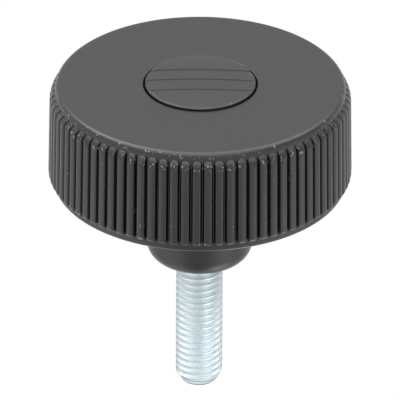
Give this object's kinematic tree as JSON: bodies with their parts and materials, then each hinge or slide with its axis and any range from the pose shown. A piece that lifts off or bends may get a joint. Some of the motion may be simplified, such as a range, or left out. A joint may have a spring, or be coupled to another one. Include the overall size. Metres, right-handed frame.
{
  "type": "knurled knob",
  "caption": "Round hand knob with a ridged rim, a central hub, a snap-in cover cap and a projecting threaded stud, for clamping and adjusting by hand.",
  "frame": {"origin": "centre of the hub's seat face, where the threaded stud comes out", "axes": "+Z along the stud's axis, from the seat face towards the flat top; +X along the grooves in the cap"},
  "size_m": [0.0633, 0.0634, 0.0716],
  "materials": {
    "black_nylon": "fine spark-eroded matt, glass-fibre filled",
    "zinc_plated_steel": "bright zinc plating, clear to faint blue"
  },
  "bodies": {
    "root": {"knob_body": "black_nylon", "cover_cap": "black_nylon", "hex_screw": "zinc_plated_steel"}
  },
  "joints": []
}
